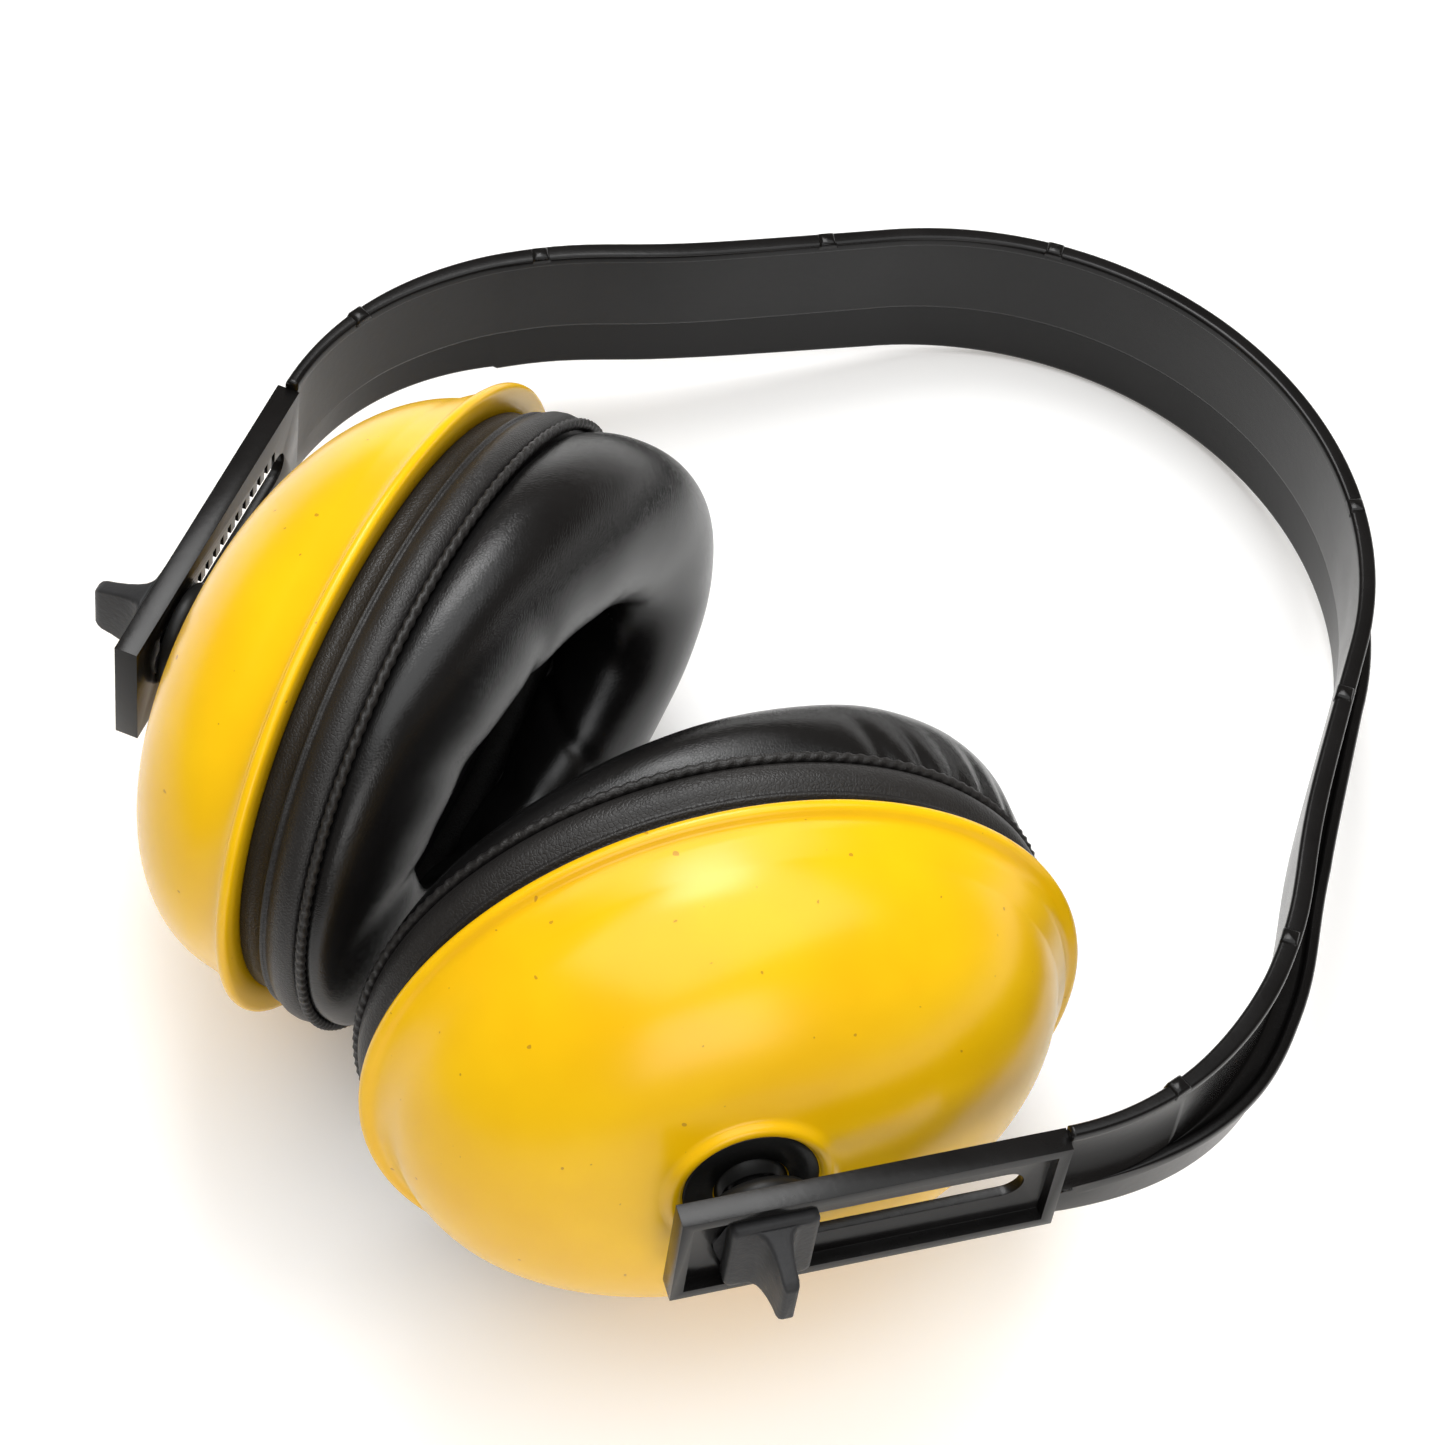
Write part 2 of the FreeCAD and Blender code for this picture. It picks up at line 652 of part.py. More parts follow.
def check(nodes):
    for thing in DOC.Objects:
        if {"Invalid", "Error"} & set(thing.State):
            raise RuntimeError(f"{thing.Label} failed: {thing.State}")
    for name, (piece, _) in nodes.items():
        shape = piece.Shape
        if shape.isNull() or not shape.isValid() or not shape.Solids:
            raise RuntimeError(f"{name} has no valid solid")


def main():
    fill_sheet()
    nodes = build()
    DOC.recompute()
    for name, (piece, place) in nodes.items():
        piece.Label = name
        piece.Placement = place
    DOC.recompute()
    check(nodes)
    os.makedirs("parts", exist_ok=True)
    for name, (piece, _) in nodes.items():
        piece.Shape.exportStep(f"parts/{name}.step")
    whole = Part.makeCompound([piece.Shape for piece, _ in nodes.values()])
    room = whole.BoundBox
    print(f"x {room.XMin:.2f} {room.XMax:.2f}  y {room.YMin:.2f} {room.YMax:.2f}"
          f"  z {room.ZMin:.2f} {room.ZMax:.2f}")


main()
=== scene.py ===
import json
import math

import bmesh
import bpy
from mathutils import Matrix, Vector, noise


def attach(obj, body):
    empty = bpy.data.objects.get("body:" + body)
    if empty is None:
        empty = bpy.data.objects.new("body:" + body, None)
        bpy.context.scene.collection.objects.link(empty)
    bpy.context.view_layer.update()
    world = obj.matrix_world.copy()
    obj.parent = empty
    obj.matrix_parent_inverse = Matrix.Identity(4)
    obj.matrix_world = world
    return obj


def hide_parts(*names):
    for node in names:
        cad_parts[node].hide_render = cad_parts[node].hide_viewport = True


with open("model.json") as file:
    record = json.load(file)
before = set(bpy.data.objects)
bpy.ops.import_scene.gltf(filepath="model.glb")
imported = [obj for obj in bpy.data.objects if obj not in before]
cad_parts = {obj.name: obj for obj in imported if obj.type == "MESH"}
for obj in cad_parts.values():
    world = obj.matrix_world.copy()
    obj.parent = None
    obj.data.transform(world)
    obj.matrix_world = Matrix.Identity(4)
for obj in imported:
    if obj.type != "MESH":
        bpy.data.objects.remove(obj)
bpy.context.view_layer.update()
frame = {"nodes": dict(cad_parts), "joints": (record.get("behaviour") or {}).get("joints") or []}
MM = 0.001
SIDES = {"left": -1, "right": 1}
JOINTS = {joint["name"]: joint for joint in frame["joints"]}

# the band's own frame, as it lies on the table: degrees and millimetres
LIE_PITCH, LIE_ROLL = 11.18, -4.80
LIE_ORIGIN = Vector((1.575, 68.07, -43.75))
# tilt of each cup on its ball as it lies, and how far the ball is behind the plate's frame
REST_TILT = {"left": -4.0, "right": -11.4}
BALL_DEPTH = 10.2

# cup sizes in millimetres, in the cup's frame with the ball at its origin
FLANGE = -21.0
SHIFT = 3.0
DOME_LONG, DOME_SHORT, DOME_HEIGHT, DOME_POWER, DOME_LEAN = 44.0, 36.2, 25.4, 2.3, 0.5
EDGE_LONG, EDGE_SHORT = 47.2, 39.3
WALL = 2.2


# ---------------------------------------------------------------- frames

def turn(axis, degrees):
    """A 3 by 3 rotation about a coordinate axis."""
    return Matrix.Rotation(math.radians(degrees), 3, axis)


LIE = turn("Y", LIE_ROLL) @ turn("X", -LIE_PITCH)


def axes_matrix(x, y, z, origin):
    """A matrix from local millimetres to the row frame in metres."""
    rotation = Matrix((x, y, z)).transposed().to_4x4()
    return Matrix.Translation(origin) @ rotation @ Matrix.Scale(MM, 4)


def band_matrix():
    """The band's frame: +X to the right cup, +Y to the crown, +Z across the strip."""
    origin = -LIE_ORIGIN * MM
    return Matrix.Translation(origin) @ LIE.to_4x4() @ Matrix.Scale(MM, 4)


def cup_matrix(side):
    """The cup's frame at its ball, as it rests: +Z out of the head, +Y towards the crown."""
    toe_x = -Vector(JOINTS[f"{side}_toe"]["axis"]).normalized()
    tilt = JOINTS[f"{side}_tilt"]
    y = Vector(tilt["axis"]).normalized()
    toe_z = toe_x.cross(y)
    angle = math.radians(REST_TILT[side])
    z = toe_z * math.cos(angle) + toe_x * math.sin(angle)
    return axes_matrix(y.cross(z), y, z, Vector(tilt["pos_m"]))


def pivot_matrix(side):
    """The end plate's frame at the pivot pin: +Z out of the head, +Y towards the crown."""
    z = Vector(JOINTS[f"{side}_swivel_turn"]["axis"]).normalized()
    y = Vector(JOINTS[f"{side}_height"]["axis"]).normalized()
    ball = Vector(JOINTS[f"{side}_swivel_turn"]["pos_m"])
    return axes_matrix(y.cross(z), y, z, ball + z * BALL_DEPTH * MM)


BAND = band_matrix()
CUP = {side: cup_matrix(side) for side in SIDES}
PIVOT = {side: pivot_matrix(side) for side in SIDES}


# ---------------------------------------------------------------- camera

# in the band's frame: directions to the right of the view and down it, and place in millimetres
CAMERA_RIGHT = Vector((0.66851, 0.73707, 0.09912))
CAMERA_DOWN = Vector((0.63471, -0.49599, -0.59257))
CAMERA_PLACE = Vector((229.1, -216.2, 478.6))
LENS, SENSOR = 112.1, 36.0


def add_camera():
    """A long lens that looks down at the earmuffs as they lie."""
    right, down = LIE @ CAMERA_RIGHT, LIE @ CAMERA_DOWN
    data = bpy.data.cameras.new("camera")
    data.lens, data.sensor_width = LENS, SENSOR
    data.clip_start, data.clip_end = 0.01, 20.0
    camera = bpy.data.objects.new("camera", data)
    rotation = Matrix((right, -down, right.cross(-down))).transposed().to_4x4()
    camera.matrix_world = Matrix.Translation(BAND @ CAMERA_PLACE) @ rotation
    bpy.context.scene.collection.objects.link(camera)
    bpy.context.scene.camera = camera


# ---------------------------------------------------------------- materials

# the Mix node's colour sockets
MIX_A, MIX_B, MIX_RESULT = 6, 7, 2


def new_material(name, colour, roughness, **extra):
    """A Principled material whose constants sit on the shader's own sockets."""
    material = bpy.data.materials.new(name)
    material.use_nodes = True
    shader = material.node_tree.nodes["Principled BSDF"]
    shader.inputs["Base Color"].default_value = (*colour, 1)
    shader.inputs["Roughness"].default_value = roughness
    for key, value in extra.items():
        shader.inputs[key.replace("_", " ")].default_value = value
    return material


def add(material, kind, **settings):
    """A new node. Settings that start with in_ are its inputs, the others its attributes."""
    node = material.node_tree.nodes.new(kind)
    for key, value in settings.items():
        if key.startswith("in_"):
            node.inputs[key[3:].replace("_", " ")].default_value = value
        else:
            setattr(node, key, value)
    return node


def wire(material, source, output, target, entry):
    material.node_tree.links.new(source.outputs[output], target.inputs[entry])


def shader_of(material):
    return material.node_tree.nodes["Principled BSDF"]


def coordinates(material):
    return add(material, "ShaderNodeTexCoord")


def speckle(material, scale, detail, rough=0.55, distortion=0.0):
    """Noise over the object's own coordinates, with scale in grains a metre."""
    node = add(material, "ShaderNodeTexNoise", in_Scale=scale, in_Detail=detail,
               in_Roughness=rough, in_Distortion=distortion)
    wire(material, coordinates(material), "Object", node, "Vector")
    return node


def ramp(material, source, output, stops):
    """A colour ramp with a stop for each pair of place and colour."""
    node = add(material, "ShaderNodeValToRGB")
    while len(node.color_ramp.elements) < len(stops):
        node.color_ramp.elements.new(0.5)
    for element, (place, colour) in zip(node.color_ramp.elements, stops):
        element.position = place
        element.color = (*colour, 1)
    wire(material, source, output, node, "Fac")
    return node


def bump(material, source, output, strength, distance, below=None):
    node = add(material, "ShaderNodeBump", in_Strength=strength, in_Distance=distance)
    wire(material, source, output, node, "Height")
    if below is not None:
        wire(material, below, "Normal", node, "Normal")
    return node


def finish_normal(material, node):
    wire(material, node, "Normal", shader_of(material), "Normal")


def grey(value):
    return (value, value, value)


def vary_roughness(material, scale, low, high):
    """Roughness that drifts between two values over the surface."""
    cloud = speckle(material, scale, 4.0)
    scaled = add(material, "ShaderNodeMapRange")
    scaled.inputs["To Min"].default_value = low
    scaled.inputs["To Max"].default_value = high
    wire(material, cloud, "Fac", scaled, "Value")
    wire(material, scaled, "Result", shader_of(material), "Roughness")


def yellow_plastic():
    """Moulded yellow with a faint drift of tone, a few darker specks and slow flow waves."""
    material = new_material("yellow_abs", (0.88, 0.5, 0.002), 0.25, IOR=1.5,
                            Specular_IOR_Level=0.36, Subsurface_Weight=0.04,
                            Subsurface_Radius=(0.003, 0.0015, 0.0003))
    cloud = speckle(material, 60.0, 2.0)
    tone = ramp(material, cloud, "Fac", [(0.3, (0.84, 0.47, 0.001)), (0.7, (0.9, 0.53, 0.002))])
    specks = speckle(material, 900.0, 0.0)
    mask = ramp(material, specks, "Fac", [(0.845, grey(0.0)), (0.865, grey(1.0))])
    mix = add(material, "ShaderNodeMix", data_type="RGBA")
    mix.inputs[MIX_B].default_value = (0.55, 0.28, 0.01, 1)
    wire(material, mask, "Color", mix, "Factor")
    wire(material, tone, "Color", mix, MIX_A)
    wire(material, mix, MIX_RESULT, shader_of(material), "Base Color")
    vary_roughness(material, 45.0, 0.2, 0.3)
    flow = speckle(material, 18.0, 2.0, 0.5, 0.6)
    finish_normal(material, bump(material, flow, "Fac", 0.12, 0.0012))
    return material


def black_plastic(name, tone, low, high, grain=900.0, strength=0.12):
    """Moulded black with roughness from low to high, grain in grains a metre."""
    material = new_material(name, tone, (low + high) / 2, IOR=1.5, Specular_IOR_Level=0.2)
    cloud = speckle(material, 90.0, 4.0)
    lighter = tuple(value * 1.6 + 0.001 for value in tone)
    colour = ramp(material, cloud, "Fac", [(0.35, tone), (0.75, lighter)])
    wire(material, colour, "Color", shader_of(material), "Base Color")
    vary_roughness(material, 160.0, low, high)
    coarse = bump(material, speckle(material, 45.0, 1.0), "Fac", 0.1, 0.001)
    fine = bump(material, speckle(material, grain, 2.0), "Fac", strength, 0.0002, coarse)
    finish_normal(material, fine)
    return material


def vinyl(name, tone, low, high, grain, depth):
    """Black vinyl with a leather grain, grain in cells a metre."""
    material = new_material(name, tone, (low + high) / 2, IOR=1.5, Specular_IOR_Level=0.36)
    cells = add(material, "ShaderNodeTexVoronoi", in_Scale=grain, feature="DISTANCE_TO_EDGE")
    wire(material, coordinates(material), "Object", cells, "Vector")
    pebble = ramp(material, cells, "Distance", [(0.0, grey(0.0)), (0.22, grey(1.0))])
    soft = bump(material, speckle(material, grain * 0.4, 3.0), "Fac", 0.15, depth)
    finish_normal(material, bump(material, pebble, "Color", 0.4, depth * 0.6, soft))
    cloud = speckle(material, 70.0, 4.0)
    lighter = tuple(value * 1.5 + 0.001 for value in tone)
    colour = ramp(material, cloud, "Fac", [(0.35, tone), (0.7, lighter)])
    wire(material, colour, "Color", shader_of(material), "Base Color")
    vary_roughness(material, 120.0, low, high)
    return material


def foam_material():
    material = new_material("foam", (0.03, 0.03, 0.032), 0.95)
    pores = add(material, "ShaderNodeTexVoronoi", in_Scale=900.0)
    wire(material, coordinates(material), "Object", pores, "Vector")
    finish_normal(material, bump(material, pores, "Distance", 0.8, 0.0006))
    colour = ramp(material, pores, "Distance", [(0.1, grey(0.012)), (0.6, grey(0.05))])
    wire(material, colour, "Color", shader_of(material), "Base Color")
    return material


def steel_material():
    material = new_material("zinc_steel", (0.6, 0.6, 0.61), 0.35, Metallic=1.0)
    vary_roughness(material, 400.0, 0.25, 0.45)
    return material


def floor_material():
    material = new_material("floor", (0.93, 0.93, 0.93), 0.6)
    cloud = speckle(material, 6.0, 2.0)
    colour = ramp(material, cloud, "Fac", [(0.3, grey(0.92)), (0.7, grey(0.94))])
    wire(material, colour, "Color", shader_of(material), "Base Color")
    shader_of(material).inputs["Emission Color"].default_value = (1.0, 0.955, 0.91, 1)
    shader_of(material).inputs["Emission Strength"].default_value = 0.16
    return material


YELLOW = yellow_plastic()
BAND_BLACK = black_plastic("band_nylon", (0.0045, 0.0042, 0.0042), 0.16, 0.28, 900.0, 0.06)
GRIP = black_plastic("grip_nylon", (0.02, 0.02, 0.021), 0.38, 0.55, 1400.0, 0.3)
DISC_BLACK = black_plastic("disc_nylon", (0.008, 0.008, 0.008), 0.3, 0.45)
SMOOTH = vinyl("smooth_vinyl", (0.004, 0.0038, 0.0038), 0.2, 0.3, 2600.0, 0.00005)
GRAINED = vinyl("grained_vinyl", (0.012, 0.011, 0.0105), 0.36, 0.5, 1900.0, 0.00013)
FOAM = foam_material()
STEEL = steel_material()


# ---------------------------------------------------------------- mesh tools

def new_piece(name, verts, faces, matrix, body, material, nodes=()):
    """A mesh piece from local millimetres, that rides a body and stands for CAD nodes."""
    mesh = bpy.data.meshes.new(name)
    mesh.from_pydata([matrix @ Vector(point) for point in verts], [], faces)
    work = bmesh.new()
    work.from_mesh(mesh)
    bmesh.ops.recalc_face_normals(work, faces=work.faces)
    work.to_mesh(mesh)
    work.free()
    shade_smooth(mesh)
    piece = bpy.data.objects.new(name, mesh)
    bpy.context.scene.collection.objects.link(piece)
    mesh.materials.append(material)
    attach(piece, body)
    if nodes:
        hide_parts(*nodes)
    return piece


def skin(rings, closed):
    """Vertices and quads through rings of equal length. closed joins the last ring to the
    first, and otherwise both ends get a face."""
    count = len(rings[0])
    verts = [point for ring in rings for point in ring]
    faces = []
    last = len(rings) if closed else len(rings) - 1
    for index in range(last):
        low, high = index * count, (index + 1) % len(rings) * count
        for step in range(count):
            after = (step + 1) % count
            faces.append((low + step, low + after, high + after, high + step))
    if not closed:
        faces.append(tuple(range(count)))
        faces.append(tuple(range(len(verts) - count, len(verts))))
    return verts, faces


def oval(long, short, z, count, shift=SHIFT):
    """A ring of points on an ellipse with its long axis along Y."""
    points = []
    for step in range(count):
        angle = 2 * math.pi * step / count
        points.append(Vector((short * math.cos(angle), shift + long * math.sin(angle), z)))
    return points


def circle(radius, z, count):
    """A ring of points about the local Z axis."""
    return oval(radius, radius, z, count, 0.0)


def brick_ring(half_x, half_y, radius, z, steps=4):
    """A ring of points on a rectangle with rounded corners."""
    corners = [Vector((half_x, half_y)), Vector((-half_x, half_y)),
               Vector((-half_x, -half_y)), Vector((half_x, -half_y))]
    return [Vector((point.x, point.y, z)) for point in rounded(corners, radius, steps)]


def shade_smooth(mesh):
    mesh.polygons.foreach_set("use_smooth", [True] * len(mesh.polygons))


def apply_modifiers(piece):
    graph = bpy.context.evaluated_depsgraph_get()
    mesh = bpy.data.meshes.new_from_object(piece.evaluated_get(graph))
    piece.modifiers.clear()
    piece.data = mesh


def smooth_edges(piece, width, degrees, segments):
    """Round a piece's edges that are sharper than an angle, width in millimetres."""
    work = bmesh.new()
    work.from_mesh(piece.data)
    bmesh.ops.remove_doubles(work, verts=work.verts, dist=0.02 * MM)
    bmesh.ops.dissolve_limit(work, angle_limit=math.radians(1.0), verts=work.verts,
                             edges=work.edges)
    work.to_mesh(piece.data)
    work.free()
    bevel = piece.modifiers.new("bevel", "BEVEL")
    bevel.width = width * MM
    bevel.segments = segments
    bevel.limit_method = "ANGLE"
    bevel.angle_limit = math.radians(degrees)
    normals = piece.modifiers.new("normals", "WEIGHTED_NORMAL")
    normals.keep_sharp = True
    apply_modifiers(piece)


# ---------------------------------------------------------------- headband

# half loop: an arc at the crown, a straight flank and a corner arc down to the plate
CROWN_TOP, CROWN_RADIUS, CROWN_ANGLE, CROWN_STEPS = 154.0, 53.6, 59.0, 30
FLANK, FLANK_STEPS = 54.5, 24
CORNER_RADIUS, PLATE_ANGLE, CORNER_STEPS = 39.4, 26.2, 70
# the rib fades a little at the crown, and fully over these degrees before the plate
CROWN_FADE, FADE_START, FADE_END = 0.3, 4.0, 50.0
# the lower edge's level at the plate, and the slope at which it drops away from there
TAPER_LEVEL, TAPER_ANGLE = 6.6, 9.3
# the strip stands out most this many degrees before the plate: by how much, over what length
SHOULDER_ANGLE, SHOULDER_BULGE, SHOULDER_SPREAD = 68.0, 1.6, 13.0
# half of the strip's height and of its web's thickness
STRIP_HALF, WEB_HALF = 12.5, 0.8
# moulding stubs: stations along the half loop, level, and sections of half width and level
STUB_STATIONS, STUB_LEVEL = (17, 34, 52, 96), 12.3
STUB_SECTIONS = ((1.2, -0.5), (1.1, 0.3), (0.8, 0.6))

# end plate: outline, the pin's distance from its free end, back and front, tray floor and rim
PLATE_LENGTH, PLATE_HEIGHT, PIN_REACH = 50.0, 18.0, 12.0
PLATE_BACK, PLATE_FRONT, TRAY_FLOOR, PLATE_RIM = -1.2, 2.0, 0.2, 1.6
# level that the tray's and the slot's cuts reach, beyond the plate's faces
CUT_LEVEL = 4.0
# the slot's distance from the plate's free end and from its other end, and half its width
SLOT_START, SLOT_END, SLOT_HALF = 5.0, 4.5, 2.5
# ratchet notches in the back: number, pitch, half length, span across the plate, and levels
NOTCH_COUNT, NOTCH_PITCH, NOTCH_HALF = 16, 2.3, 0.5
NOTCH_ACROSS, NOTCH_LEVELS = (1.0, 4.7), (-2.0, -0.5)


def shoulder(distance):
    """How far the strip stands out near its shoulder, by distance along it."""
    return SHOULDER_BULGE * math.exp(-(distance / SHOULDER_SPREAD) ** 2)


def half_loop():
    """Stations of the right half from crown to plate: point, outward normal, fade towards
    the plain web, and level of the lower edge."""
    stations = []
    sweep = 90 - CROWN_ANGLE + PLATE_ANGLE
    before = math.radians(sweep - SHOULDER_ANGLE) * CORNER_RADIUS
    centre = Vector((0, CROWN_TOP - CROWN_RADIUS))
    for step in range(CROWN_STEPS + 1):
        angle = math.radians(CROWN_ANGLE * step / CROWN_STEPS)
        outward = Vector((math.sin(angle), math.cos(angle)))
        stations.append((centre + outward * CROWN_RADIUS, outward, CROWN_FADE, -STRIP_HALF))
    lean = math.radians(CROWN_ANGLE)
    along = Vector((math.cos(lean), -math.sin(lean)))
    outward = Vector((math.sin(lean), math.cos(lean)))
    start = stations[-1][0]
    for step in range(1, FLANK_STEPS + 1):
        part = step / FLANK_STEPS
        bulge = shoulder(before + FLANK * (1 - part))
        fade = CROWN_FADE * max(1 - 2 * part, 0.0)
        stations.append((start + along * FLANK * part + outward * bulge, outward, fade,
                         -STRIP_HALF))
    centre = start + along * FLANK - outward * CORNER_RADIUS
    for step in range(1, CORNER_STEPS + 1):
        left = sweep * (1 - step / CORNER_STEPS)
        angle = math.radians(-PLATE_ANGLE + left)
        outward = Vector((math.cos(angle), math.sin(angle)))
        fade = min(max((FADE_END - left) / (FADE_END - FADE_START), 0.0), 1.0)
        fade = fade * fade * (3 - 2 * fade)
        bulge = shoulder(math.radians(left - SHOULDER_ANGLE) * CORNER_RADIUS)
        rise = CORNER_RADIUS * math.sin(math.radians(left)) * math.tan(math.radians(TAPER_ANGLE))
        low = -min(TAPER_LEVEL + rise, STRIP_HALF)
        stations.append((centre + outward * (CORNER_RADIUS + bulge), outward, fade, low))
    return stations


def rounded(corners, radius, steps=3):
    """A closed outline with each corner rounded as far as its sides allow."""
    points = []
    count = len(corners)
    for index, corner in enumerate(corners):
        before = corners[index - 1] - corner
        after = corners[(index + 1) % count] - corner
        reach = min(radius, before.length * 0.45, after.length * 0.45)
        start = corner + before.normalized() * reach
        end = corner + after.normalized() * reach
        for step in range(steps + 1):
            part = step / steps
            points.append(start * (1 - part) ** 2 + corner * 2 * part * (1 - part)
                          + end * part ** 2)
    return points


def band_section(fade, low):
    """The strip's section: offset outwards and level across, from step to plain web."""
    def between(full, plain):
        return full + (plain - full) * fade
    web = WEB_HALF
    rib, out, inner = between(4.9, web), between(3.2, web), between(1.9, -web)
    lip, tuck = between(1.5, 0.9), between(-1.1, -0.86)
    crest, foot = max(rib - 1.5, web), max(rib - 1.8, web)
    corners = [(out, low), (out, -3.1), (rib, -3.0), (rib, -1.1), (crest, -1.0), (foot, -1.75),
               (web, -1.75), (web, 10.9), (lip, 11.1), (lip, STRIP_HALF), (tuck, STRIP_HALF),
               (tuck, 11.1), (-web, 10.9), (-web, -2.6), (inner, -2.7),
               (inner - 0.8 * (1 - fade), low)]
    return rounded([Vector(corner) for corner in corners], 0.7, 4)


def build_band_loop():
    half = half_loop()
    mirrored = [(Vector((-p.x, p.y)), Vector((-n.x, n.y)), f, low) for p, n, f, low in half[:0:-1]]
    rings = []
    for place, outward, fade, low in mirrored + half:
        ring = []
        for offset, level in band_section(fade, low):
            spot = place + outward * offset
            ring.append(Vector((spot.x, spot.y, level)))
        rings.append(ring)
    verts, faces = skin(rings, False)
    new_piece("band_loop", verts, faces, BAND, "band", BAND_BLACK, ["headband"])


def build_gate_marks():
    """Small moulding stubs along the strip's top edge."""
    half = half_loop()
    for side, sign in SIDES.items():
        for index, station in enumerate(STUB_STATIONS):
            spot, outward = half[station][:2]
            facing = turn("Z", math.degrees(math.atan2(outward.y, sign * outward.x))).to_4x4()
            place = BAND @ Matrix.Translation((sign * spot.x, spot.y, STUB_LEVEL)) @ facing
            rings = [brick_ring(half_width, 1.5 - 0.35 * step, 0.3, level)
                     for step, (half_width, level) in enumerate(STUB_SECTIONS)]
            verts, faces = skin(rings, False)
            new_piece(f"{side}_gate_mark_{index}", verts, faces, place, "band",
                      BAND_BLACK)


def add_box(work, low, high):
    """Add a box between two corners to a bmesh."""
    made = bmesh.ops.create_cube(work, size=1.0)
    middle = (Vector(low) + Vector(high)) / 2
    span = Vector(high) - Vector(low)
    for vert in made["verts"]:
        vert.co = middle + Vector(co * size for co, size in zip(vert.co, span))


def local_solid(name, build):
    """An object in local millimetres, filled by a function that takes a bmesh."""
    work = bmesh.new()
    build(work)
    mesh = bpy.data.meshes.new(name)
    work.to_mesh(mesh)
    work.free()
    thing = bpy.data.objects.new(name, mesh)
    bpy.context.scene.collection.objects.link(thing)
    return thing


def cut_out(base, tool):
    """Cut one solid out of another, and remove the tool."""
    modifier = base.modifiers.new("boolean", "BOOLEAN")
    modifier.operation = "DIFFERENCE"
    modifier.solver = "EXACT"
    modifier.object = tool
    apply_modifiers(base)
    bpy.data.objects.remove(tool)


def slot_prism(work):
    """Add the slot's shape, with its round ends, to a bmesh."""
    low, high = SLOT_START - PIN_REACH, PLATE_LENGTH - SLOT_END - PIN_REACH
    half, arc_steps = SLOT_HALF, 12
    outline = []
    for centre, start in ((high - half, 0.0), (low + half, math.pi)):
        for step in range(arc_steps + 1):
            angle = start + math.pi * step / arc_steps
            outline.append((half * math.cos(angle), centre + half * math.sin(angle)))
    bottom = [work.verts.new((x, y, -CUT_LEVEL)) for x, y in outline]
    top = [work.verts.new((x, y, CUT_LEVEL)) for x, y in outline]
    work.faces.new(bottom[::-1])
    work.faces.new(top)
    count = len(outline)
    for step in range(count):
        after = (step + 1) % count
        work.faces.new((bottom[step], bottom[after], top[after], top[step]))


def build_plate(side):
    """Slotted end plate with a raised rim, and ratchet notches in the upper half of its back."""
    low, high = -PIN_REACH, PLATE_LENGTH - PIN_REACH
    half, rim = PLATE_HEIGHT / 2, PLATE_RIM
    upper = 1 if PIVOT[side][2][0] > 0 else -1

    def block(work):
        add_box(work, (-half, low, PLATE_BACK), (half, high, PLATE_FRONT))

    def tray(work):
        add_box(work, (rim - half, low + rim, TRAY_FLOOR), (half - rim, high - rim, CUT_LEVEL))

    def notches(work):
        across = sorted(reach * upper for reach in NOTCH_ACROSS)
        back, front = NOTCH_LEVELS
        for index in range(NOTCH_COUNT):
            middle = SLOT_START - PIN_REACH + (index + 1) * NOTCH_PITCH
            add_box(work, (across[0], middle - NOTCH_HALF, back),
                    (across[1], middle + NOTCH_HALF, front))

    plate = local_solid(f"{side}_plate_block", block)
    for name, build in (("tray", tray), ("slot", slot_prism), ("notches", notches)):
        cut_out(plate, local_solid(name, build))
    mesh = plate.data
    mesh.transform(PIVOT[side])
    bpy.data.objects.remove(plate)
    piece = bpy.data.objects.new(f"{side}_plate", mesh)
    bpy.context.scene.collection.objects.link(piece)
    mesh.materials.clear()
    mesh.materials.append(BAND_BLACK)
    smooth_edges(piece, width=0.4, degrees=30.0, segments=3)
    shade_smooth(piece.data)
    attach(piece, "band")
    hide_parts("headband")


# ---------------------------------------------------------------- pivot pieces

ROUND_STEPS = 64


def build_dish_liner(side):
    """Thin black washer on the floor of the cup's dish. Profile: radius, level."""
    profile = ((4.9, 3.88), (4.9, 4.08), (8.4, 4.08), (8.7, 4.0), (8.75, 3.88))
    verts, faces = skin([circle(radius, level, ROUND_STEPS) for radius, level in profile], True)
    new_piece(f"{side}_dish_liner", verts, faces, CUP[side], f"{side}_cup",
              DISC_BLACK)


def build_knob(side):
    """Winged grip with a neck in the slot. Sections: level, half width, half length, radius."""
    sections = ((-1.2, 2.1, 6.7, 1.9), (0.45, 2.2, 6.8, 2.0), (0.5, 6.1, 5.2, 1.0),
                (0.8, 6.5, 5.6, 1.0), (2.5, 6.5, 5.6, 1.0), (2.95, 6.3, 5.4, 1.0),
                (3.1, 5.9, 4.9, 1.0), (3.15, 6.1, 3.2, 1.0), (3.4, 6.1, 2.5, 0.9),
                (4.0, 5.9, 1.9, 0.8), (5.0, 5.6, 1.5, 0.7), (6.4, 5.1, 1.25, 0.6),
                (8.0, 4.6, 1.1, 0.5), (9.4, 4.2, 1.1, 0.5), (10.0, 3.9, 1.0, 0.5),
                (10.4, 3.4, 0.8, 0.4), (10.5, 3.0, 0.4, 0.2))
    rings = [brick_ring(x, y, radius, z) for z, x, y, radius in sections]
    verts, faces = skin(rings, False)
    new_piece(f"{side}_grip", verts, faces, PIVOT[side], f"{side}_slider", GRIP,
              [f"{side}_knob"])


